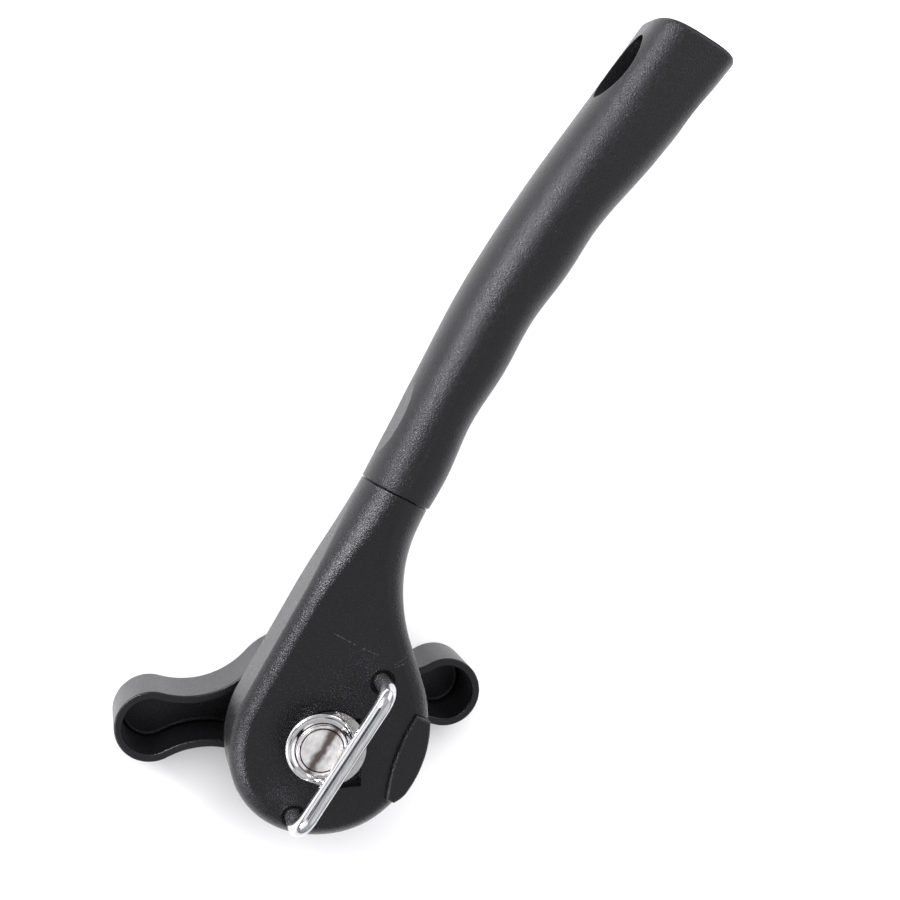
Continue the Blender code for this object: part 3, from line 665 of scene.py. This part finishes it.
def head_shell():
    """The head's outer form, with round edges that widen towards the oval neck."""
    edge = head_outline(0)
    inward = head_outline(1)
    low, high = HEAD_Z
    quarter = [90 * i / 10 for i in range(11)]
    rings = []
    for side, turn in [(-1, a) for a in reversed(quarter)] + [(1, a) for a in quarter]:
        ring = []
        for (x, y), (xi, yi) in zip(edge, inward):
            t = min(max((x - NECK_START_X) / (SEAM_X - NECK_START_X), 0), 1)
            t = t * t * (3 - 2 * t)
            across = EDGE_ROUND + (NECK_ROUND[0] - EDGE_ROUND) * t
            down = EDGE_ROUND + (NECK_ROUND[1] - EDGE_ROUND) * t
            power = EDGE_FLATNESS + (1 - EDGE_FLATNESS) * t
            inset = across * (1 - abs(cos(radians(turn))) ** power)
            drop = down * (1 - sin(radians(turn)) ** power)
            z = high - drop if side > 0 else low + drop
            ring.append((x + (xi - x) * inset, y + (yi - y) * inset, z))
        rings.append(ring)
    return loft("head_shell", rings)


def ledge_outline(gap, proud):
    """The ledge seen from the front: an arc towards the wheel and one along the head's edge."""
    low, high = LEDGE_X[0] - gap, LEDGE_X[1] + gap
    (cx, cy), radius = LEDGE_ARC
    radius += gap
    start, end = (degrees(acos((x - cx) / radius)) for x in (high, low))
    inner = arc((cx, cy), radius, start, end, 40)
    bx, by = blend_centre()
    outer_radius = BLEND_RADIUS + proud
    start, end = (-degrees(acos((x - bx) / outer_radius)) for x in (low, high))
    outer = []
    for x, y in arc((bx, by), outer_radius, start, end, 48):
        tuck = LEDGE_TUCK[0] * max(0, 1 - (x - low) / LEDGE_TUCK[1]) ** 2
        outer.append((x, y + tuck))
    return inner + outer


def window_outline():
    """The slot beside the wheels, with small corner radii."""
    length, width = WINDOW_SIZE
    corner = WINDOW_CORNER
    points = []
    for i, (sx, sy) in enumerate(((1, 1), (-1, 1), (-1, -1), (1, -1))):
        centre = (sx * (length / 2 - corner), sy * (width / 2 - corner))
        points += arc(centre, corner, 90 * i, 90 * i + 90, 6)
    turn = radians(WINDOW_TURN)
    x0, y0 = WINDOW_CENTRE
    return [(x0 + x * cos(turn) - y * sin(turn), y0 + x * sin(turn) + y * cos(turn)) for x, y in points]


def head_housing(look):
    shell = head_shell()
    low, high = HEAD_Z
    roof = high - HEAD_WALL
    cut(shell, prism("cavity", head_outline(HEAD_WALL, CAVITY_END_X, 2), low - 3, roof))
    join(shell, cylinder("boss", BOSS_RADIUS, roof - BOSS_DEPTH, roof + 0.5, CARRIER))
    for spot in COVER_SCREWS:
        join(shell, cylinder("post", POST_RADIUS, low + 0.4, roof + 0.4, spot, 40))
    for spot in WIRE_LEGS:
        join(shell, cylinder("wire_post", WIRE_HOLE + 1.2, roof - WIRE_POST, roof + 0.3, spot, 40))
    cut(shell, cylinder("bore", BORE_RADIUS, low - 5, high + 3, CARRIER))
    for spot in COVER_SCREWS:
        cut(shell, cylinder("pilot", SCREW_RADIUS + FIT, low - 1, low + PILOT_DEPTH, spot, 32))
    narrow = WIRE_RADIUS + WIRE_FIT
    mouth = [(0, high + 1)] + [(WIRE_HOLE + out, high + up) for out, up in WIRE_MOUTH]
    mouth.append((narrow + 0.2, high - DIMPLE_DEPTH + 0.08))
    throat = [(narrow, high - DIMPLE_DEPTH - 0.1), (narrow, WIRE_ROOT_Z - 1), (0, WIRE_ROOT_Z - 1)]
    for spot in WIRE_LEGS:
        cut(shell, turned("wire_hole", mouth + throat, 64, spot))
    cut(shell, prism("window", window_outline(), high - WINDOW_DEPTH, high + 3))
    cut(shell, prism("ledge_seat", ledge_outline(0.04, 4), LEDGE_Z[0] - 0.1, high + 2))
    cut(shell, core_socket(CORE_X[0] - FIT, SEAM_X + 1))
    screw_seat(shell, CORE_SCREWS[0], CORE_SCREW_Y, low, low + 5)
    shade(shell)
    return stands_for(shell, "head_housing", look)


def core_socket(start, end):
    low = (start, CORE_Y[0] - FIT, CORE_Z[0] - FIT)
    high = (end, CORE_Y[1] + FIT, CORE_Z[1] + FIT)
    return block("socket", low, high)


def screw_seat(target, x, y, surface, depth):
    head, thick = SCREW_HEAD
    step = surface + thick + 0.5
    wide, narrow = head + 0.3, SCREW_RADIUS + 0.25
    profile = [(0, depth), (narrow, depth), (narrow, step), (wide, step)]
    profile += [(wide, surface - 1), (0, surface - 1)]
    cut(target, turned("screw_seat", profile, 48, (x, y)))


def rim_ledge(look):
    low, high = LEDGE_Z
    rings = [flat_ring(ledge_outline(0, LEDGE_PROUD), low)]
    for inset, drop in rounding(LEDGE_ROUND, 15):
        rings.append(flat_ring(ledge_outline(-inset, LEDGE_PROUD - inset), high - drop))
    ledge = loft("crescent_ledge", rings)
    shade(ledge)
    return stands_for(ledge, "rim_ledge", look)


def back_cover(look):
    low, high = COVER_Z[0], COVER_Z[0] + COVER_PLATE
    rings = [flat_ring(head_outline(COVER_INSET, COVER_END_X, 3), high)]
    for inset, drop in rounding(COVER_ROUND, 10):
        rings.append(flat_ring(head_outline(COVER_INSET + inset, COVER_END_X - inset, 3), low + drop))
    cover = loft("cover_plate", rings)
    join(cover, cylinder("cover_boss", BOSS_RADIUS, low + 1, COVER_Z[1], CARRIER))
    cut(cover, cylinder("cover_bore", BORE_RADIUS, low - 1, COVER_Z[1] + 1, CARRIER))
    wide, deep = WASHER_SEAT
    cut(cover, cylinder("washer_seat", BORE_RADIUS + wide, low - 1, low + deep, CARRIER))
    for x, y in COVER_SCREWS:
        screw_seat(cover, x, y, low, high + 1)
    shade(cover)
    return stands_for(cover, "back_cover", look)


def wire_guide(look):
    """Round wire: up out of the head, across in front of the wheels and back into it."""
    (x0, y0), (x1, y1) = WIRE_LEGS
    length = sqrt((x1 - x0) ** 2 + (y1 - y0) ** 2)
    ux, uy = (x1 - x0) / length, (y1 - y0) / length
    shoulder = WIRE_Z - WIRE_BEND
    rise = 12
    route = [(0, WIRE_ROOT_Z + (shoulder - WIRE_ROOT_Z) * i / rise) for i in range(rise + 1)]
    route += [(WIRE_BEND + a, shoulder + b) for a, b in arc((0, 0), WIRE_BEND, 180, 90, 24)[1:]]
    far = [(length - a, z) for a, z in reversed(route)]
    span = length - 2 * WIRE_BEND
    route += [(WIRE_BEND + span * i / 16, WIRE_Z) for i in range(1, 16)] + far
    path = bpy.data.curves.new("guide_wire", "CURVE")
    path.dimensions = "3D"
    path.bevel_depth = WIRE_RADIUS * MM
    path.bevel_resolution = 14
    path.use_fill_caps = True
    line = path.splines.new("POLY")
    line.points.add(len(route) - 1)
    for point, (along, z) in zip(line.points, route):
        point.co = ((x0 + ux * along) * MM, (y0 + uy * along) * MM, z * MM, 1)
    wire = link("guide_wire", path)
    mesh = bpy.data.meshes.new_from_object(wire.evaluated_get(bpy.context.evaluated_depsgraph_get()))
    bpy.data.objects.remove(wire, do_unlink=True)
    tube = link("guide_wire", mesh)
    shade(tube, 50)
    return stands_for(tube, "wire_guide", look)


# ---------------------------------------------------------------- carrier, spindle, cutter


def eccentric_carrier(look):
    """A thick bush whose bore is off its own axis, with a flange cut flat on one side."""
    back, front = CARRIER_Z
    step = front - FLANGE_DEPTH
    edge = arc((FLANGE_RADIUS - FLANGE_ROUND, front - FLANGE_ROUND), FLANGE_ROUND, 90, 0, 6)
    profile = [(0, front)] + edge + [(FLANGE_RADIUS, step), (CARRIER_RADIUS, step)]
    groove_z = (CLIP_Z[1] + CLIP_GAP, CLIP_Z[0] - CLIP_GAP)
    groove_radius = CARRIER_RADIUS - CLIP_GROOVE
    profile += [(CARRIER_RADIUS, groove_z[0]), (groove_radius, groove_z[0])]
    profile += [(groove_radius, groove_z[1]), (CARRIER_RADIUS, groove_z[1])]
    profile += [(CARRIER_RADIUS, back), (0, back)]
    carrier = turned("carrier_flange", profile, 128, CARRIER)
    cut(carrier, cylinder("carrier_bore", SHAFT_RADIUS + RUN, back - 1, front + 1))
    distance, direction = FLANGE_FLAT
    flat = block("flat", (distance, -12, step + 0.01), (distance + 6, 12, front + 1))
    turn = radians(direction)
    middle = distance + 3
    flat.location.x = (CARRIER[0] + middle * cos(turn)) * MM
    flat.location.y = (CARRIER[1] + middle * sin(turn)) * MM
    flat.rotation_euler.z = turn
    cut(carrier, flat)
    soften(carrier, 0.12)
    shade(carrier)
    return stands_for(carrier, "eccentric_carrier", look)


def feed_wheel(look):
    """The toothed wheel that drives the rim of the can."""
    root, tip = FEED_RADII
    outline = []
    for i in range(FEED_TEETH):
        for part, radius in ((0, root), (0.35, tip), (0.6, tip)):
            turn = 2 * pi * (i + part) / FEED_TEETH
            outline.append((radius * cos(turn), radius * sin(turn)))
    wheel = prism("toothed_wheel", outline, *FEED_Z)
    cut(wheel, cylinder("feed_bore", SHAFT_RADIUS + FIT, FEED_Z[0] - 1, FEED_Z[1] + 1))
    soften(wheel, 0.1, 2)
    shade(wheel)
    return stands_for(wheel, "feed_wheel", look)


def cutter_wheel(look):
    """The cutting disc: a hollow-ground bevel down to a thin edge."""
    low, high = CUTTER_Z
    bore = SHAFT_RADIUS + RUN
    inner, outer = CAP_RADIUS + 0.2, CUTTER_RADIUS
    shoulder = high - 0.05
    profile = [(bore, high), (inner - 0.15, high), (inner, shoulder)]
    crest = outer - DISC_LIP[0]
    for i in range(1, 13):
        t = i / 12
        profile.append((inner + (crest - inner) * t, shoulder - DISC_DISH * sin(pi * t * 0.75)))
    for turn in range(20, 91, 10):
        across, down = DISC_LIP[0] * sin(radians(turn)), DISC_LIP[1] * (1 - cos(radians(turn)))
        profile.append((crest + across, high - 0.27 - down))
    profile += [(outer, low + 0.15), (outer - 0.5, low), (bore, low)]
    wheel = turned("cutting_disc", profile, 160, closed=True)
    shade(wheel, 25)
    return stands_for(wheel, "cutter_wheel", look)


def wheel_cap(look):
    """The rivet whose broad head keeps the cutting disc on the shaft."""
    low, high = CAP_Z
    neck = high - CAP_THICKNESS
    groove = [(CAP_FACE + out, high + up) for out, up in CAP_GROOVE]
    top = [(0, high - 0.1), (CAP_FACE * 0.5, high - 0.1)] + groove
    top.append((CAP_RADIUS - CAP_ROUND - 0.15, high))
    edge = arc((CAP_RADIUS - CAP_ROUND, high - CAP_ROUND), CAP_ROUND, 90, 0, 6)
    stem = [(CAP_RADIUS - 0.45, neck), (CAP_STEM_RADIUS, neck), (CAP_STEM_RADIUS, low), (0, low)]
    cap = turned("rivet_cap", top + edge + stem, 160)
    shade(cap, 28)
    return stands_for(cap, "wheel_cap", look)


# ---------------------------------------------------------------- knob


def knob_outline(inset, fineness=4):
    """Hub arc, hollow arc, round end and back again, all tangent, moved inwards by inset."""
    hub, end, reach, waist = KNOB_HUB, KNOB_END, KNOB_REACH, KNOB_WAIST
    share = (end - waist) / (hub - waist)
    a, b = 1 - share, -2 * reach
    c = reach**2 + waist**2 - end**2 - share * (waist**2 - hub**2)
    middle = (-b - sqrt(b * b - 4 * a * c)) / (2 * a)
    hollow = (middle**2 + waist**2 - hub**2) / (2 * (hub - waist))
    height = waist + hollow
    at_hub = degrees(acos(middle / (hub + hollow)))
    at_end = degrees(acos((middle - reach) / (end + hollow)))
    quarter = arc((reach, 0), end - inset, 0, at_end, 9 * fineness)
    quarter += arc((middle, height), hollow + inset, at_end - 180, at_hub - 180, 8 * fineness)[1:]
    quarter += arc((0, 0), hub - inset, at_hub, 90, 3 * fineness)[1:]
    half = quarter + [(-x, y) for x, y in reversed(quarter[:-1])]
    return half + [(x, -y) for x, y in reversed(half[1:-1])]


def knob(look):
    """A hollow two-winged knob, closed behind and open towards the head."""
    top = KNOB_Z[1]
    rim = rounding(KNOB_RIM, 18)
    levels = rounding(KNOB_EDGE, 10)[::-1]
    levels += [(0, KNOB_EDGE + 5), (0, KNOB_EDGE + 10)]
    levels += [(inset, top - drop) for inset, drop in rim]
    levels += [(KNOB_WALL - inset, top - drop) for inset, drop in reversed(rim)]
    levels += [(KNOB_WALL, 11), (KNOB_WALL, KNOB_FLOOR + KNOB_FILLET)]
    levels += [(KNOB_WALL + inset, KNOB_FLOOR + drop) for inset, drop in rounding(KNOB_FILLET, 15)[1:]]
    body = loft("turning_knob", [flat_ring(knob_outline(inset), z) for inset, z in levels])
    half_length, half_width = KNOB_HUB - 1.2, KNOB_RIB_HALF
    for x, y in ((half_length, half_width), (half_width, half_length)):
        rib = block("rib", (-x, -y, KNOB_FLOOR - 0.7), (x, y, KNOB_RIB_TOP))
        rib.rotation_euler.z = radians(45)
        join(body, rib)
    join(body, cylinder("knob_boss", KNOB_BOSS, KNOB_FLOOR - 1, KNOB_BOSS_TOP))
    across = (HEX_FLATS / 2 + 0.2) / cos(radians(30))
    socket = prism("socket", arc((0, 0), across, 30, 330, 5), SOCKET_FLOOR, top + 1)
    socket.rotation_euler.z = radians(-KNOB_TURN)
    cut(body, socket)
    body.rotation_euler.z = radians(KNOB_TURN)
    bpy.context.view_layer.update()
    apply_modifiers(body)
    shade(body)
    return stands_for(body, "knob", look)


# ---------------------------------------------------------------- handle


def grip_section(x, inset=0.0):
    """One oval slice of the grip, with the finger waves on its lower edge and two moulding ridges."""
    upper = curve_through(GRIP_UPPER, x)
    lower = curve_through(GRIP_LOWER, x)
    along = (x - FINGER_START_X) / FINGER_PITCH
    if along < FINGER_COUNT:
        lower -= FINGER_DEPTH * (1 - cos(2 * pi * along)) / 2
    half = (upper - lower) / 2 - inset
    deep = curve_through(GRIP_DEPTH, x) - inset
    middle = (upper + lower) / 2
    power = 2 / curve_through(GRIP_POWER, x)
    ring = []
    ridge_feet = [89.2, 90.8, 269.2, 270.8]
    for turn in sorted([360 * i / GRIP_POINTS for i in range(GRIP_POINTS)] + ridge_feet):
        c, s = cos(radians(turn)), sin(radians(turn))
        across = half * abs(c) ** power * (1 if c > 0 else -1)
        crest = PARTING_RIDGE if turn in (90, 270) else 0
        rise = (deep * abs(s) ** power + crest) * (1 if s > 0 else -1)
        ring.append((x, middle + across, HANDLE_Z + rise))
    return ring


def grip(look):
    start, end = GRIP_X
    body_end = end - GRIP_CORNER
    rings = [grip_section(start + along, inset) for along, inset in rounding(GRIP_SEAM_ROUND, 30)]
    first = start + 1.2
    step = (body_end - first) / GRIP_SLICES
    rings += [grip_section(first + step * i) for i in range(GRIP_SLICES + 1)]
    for inset, along in rounding(GRIP_CORNER, 9)[1:]:
        rings.append(grip_section(end - along, inset))
    sleeve = loft("handle_grip", rings)
    middle, length, height = HANG_HOLE
    bar = cylinder("hang_hole", 1.0, -30, 30, steps=96)
    bar.scale = (length / 2, height / 2, 1)
    bar.rotation_euler = (radians(90), 0, 0)
    bar.location = (middle * MM, 0, HANG_HOLE_Z * MM)
    cut(sleeve, bar)
    cut(sleeve, core_socket(start - 1, CORE_X[1] + 1))
    scoop_x, radius, depth = SCOOP
    top = curve_through(GRIP_UPPER, scoop_x)
    cut(sleeve, cylinder("scoop", radius, 10, 60, (scoop_x, top - depth + radius), 360))
    screw_seat(sleeve, CORE_SCREWS[1], CORE_SCREW_Y, GRIP_SCREW_Z, GRIP_SCREW_Z + 5)
    shade(sleeve, 22)
    return stands_for(sleeve, "grip", look)


# ---------------------------------------------------------------- the rest, from the CAD solids


def finer(node, look, edge=0.12):
    """A welded, smooth-shaded copy of a CAD node with its edges broken."""
    shape = bmesh.new()
    shape.from_mesh(frame["nodes"][node].data)
    bmesh.ops.remove_doubles(shape, verts=shape.verts, dist=0.000001)
    bmesh.ops.dissolve_limit(shape, angle_limit=radians(0.5), verts=shape.verts, edges=shape.edges)
    piece = link("fine_" + node, mesh_of(shape, "fine_" + node))
    if edge:
        soften(piece, edge, 2, 50)
    shade(piece, 40)
    return stands_for(piece, node, look)


# ---------------------------------------------------------------- studio


# The floor, in metres: half its side, and its height just under the knob
FLOOR_HALF = 4.0
FLOOR_Z = -0.0002

# Bright patches of the room and one dark one: direction, outer and inner angle, colour
REFLECTORS = (
    ((0.2, 0.8, 0.56), 36, 26, (1.2, 1.2, 1.23)),
    ((-0.13, 0.53, 0.84), 18, 13, (0.01, 0.01, 0.011)),
    ((0.0, -0.75, 0.66), 38, 20, (0.85, 0.85, 0.87)),
)

# Lights: name, place and side in metres, power in watts, and the kind of ray that doesn't see it
LIGHTS = (
    ("key", (0.30, 0.80, 0.62), 0.36, 12.5, "diffuse"),
    ("end", (0.80, -0.30, 0.36), 0.6, 2, "diffuse"),
    ("left", (-0.59, 0.38, 0.67), 0.8, 1.8, None),
    ("low_left", (-0.62, 0.55, 0.45), 0.3, 5, "diffuse"),
    ("high", (0.46, 0.22, 0.83), 0.6, 8.4, "glossy"),
    ("low", (0.36, 0.82, 0.44), 0.35, 7.5, "glossy"),
)
LIGHTS_AIM = (0.07, 0, 0.03)

# The photographer's camera: its place in millimetres, its right and up directions, its lens
CAMERA_PLACE = (73.89, 95.02, 365.13)
CAMERA_RIGHT = (0.4571, -0.8559, 0.2421)
CAMERA_UP = (0.8894, 0.4398, -0.1243)
CAMERA_LENS = 58.2


def studio():
    """A pale floor under the knob, soft side lights and a bright room."""
    scene = bpy.context.scene
    scene.view_settings.view_transform = "Standard"
    floor = link("studio_floor", bpy.data.meshes.new("studio_floor"))
    shape = bmesh.new()
    corners = [(x * FLOOR_HALF, y * FLOOR_HALF, 0) for x, y in ((-1, -1), (1, -1), (1, 1), (-1, 1))]
    shape.faces.new([shape.verts.new(corner) for corner in corners])
    shape.to_mesh(floor.data)
    shape.free()
    floor.location.z = FLOOR_Z
    paper = Look("studio_paper", (0.93, 0.93, 0.93), 0.9)
    floor.data.materials.append(paper.material)

    world = bpy.data.worlds.new("studio")
    scene.world = world
    world.use_nodes = True
    sky = Nodes(world.node_tree, "Generated")
    split = sky.node("ShaderNodeSeparateXYZ")
    sky.wire(sky.place, split.inputs["Vector"])
    ramp = sky.node("ShaderNodeValToRGB")
    sky.wire(split.outputs["Z"], ramp.inputs["Fac"])
    stops = ramp.color_ramp.elements
    stops[0].position = 0.03
    stops[0].color = (0.26, 0.26, 0.275, 1)
    stops[1].position = 0.5
    stops[1].color = (0.52, 0.52, 0.54, 1)
    colour = ramp.outputs["Color"]
    for towards, wide, narrow, tint in REFLECTORS:
        nearness = sky.along(Vector(towards).normalized())
        share = sky.span(nearness, 0, 1, cos(radians(wide)), cos(radians(narrow)))
        colour = sky.blend(share, colour, tint)
    sky.wire(colour, sky.tree.nodes["Background"].inputs["Color"])

    for name, place, side, power, unseen in LIGHTS:
        light = area_light(name, place, side, power)
        light.visible_diffuse = unseen != "diffuse"
        light.visible_glossy = unseen != "glossy"


def area_light(name, place, size, power):
    """A square soft light that faces the opener's middle."""
    data = bpy.data.lights.new(name, "AREA")
    data.size = size
    data.energy = power
    data.color = (0.98, 0.98, 1.0)
    light = bpy.data.objects.new(name, data)
    bpy.context.scene.collection.objects.link(light)
    light.location = place
    aim = Vector(LIGHTS_AIM) - light.location
    light.rotation_euler = aim.to_track_quat("-Z", "Y").to_euler()
    return light


def camera():
    """The photographer's place: above the cutting side, with the handle running up to the right."""
    data = bpy.data.cameras.new("camera")
    data.lens = CAMERA_LENS
    data.sensor_width = 36
    eye = bpy.data.objects.new("camera", data)
    bpy.context.scene.collection.objects.link(eye)
    right = Vector(CAMERA_RIGHT).normalized()
    back = right.cross(Vector(CAMERA_UP)).normalized()
    turn = Matrix((right, back.cross(right), back)).transposed().to_4x4()
    turn.translation = Vector(CAMERA_PLACE) * MM
    eye.matrix_world = turn
    bpy.context.scene.camera = eye


# ---------------------------------------------------------------- the whole opener


black = moulded_plastic("black_plastic", 0.42, 0.15)
head_black = moulded_plastic("head_plastic", 0.37, 0.13, HEAD_SCRATCHES)
knob_black = moulded_plastic("knob_plastic", 0.41, 0.07)
grip_black = moulded_plastic("grip_plastic", 0.42, 0.15, dull_from=GRIP_X[1] - 1.0)
core = core_plastic()
polished = polished_steel()
drawn = drawn_wire()
steel = ground_steel()
brushed = turned_steel()
bronze = sintered_bronze()

camera()
studio()
head_housing(head_black)
rim_ledge(black)
back_cover(black)
grip(grip_black)
knob(knob_black)
wire_guide(drawn)
eccentric_carrier(steel)
feed_wheel(steel)
cutter_wheel(polished)
wheel_cap(brushed)
finer("handle_core", core, 0)
for node in ("front_bush", "rear_bush"):
    finer(node, bronze)
STEEL_NODES = ("stop_pin", "neck_screw", "grip_screw", "friction_washer", "carrier_clip")
STEEL_NODES += ("drive_shaft", "knob_washer")
STEEL_NODES += tuple(f"cover_screw_{i + 1}" for i in range(len(COVER_SCREWS)))
for node in STEEL_NODES:
    finer(node, steel)
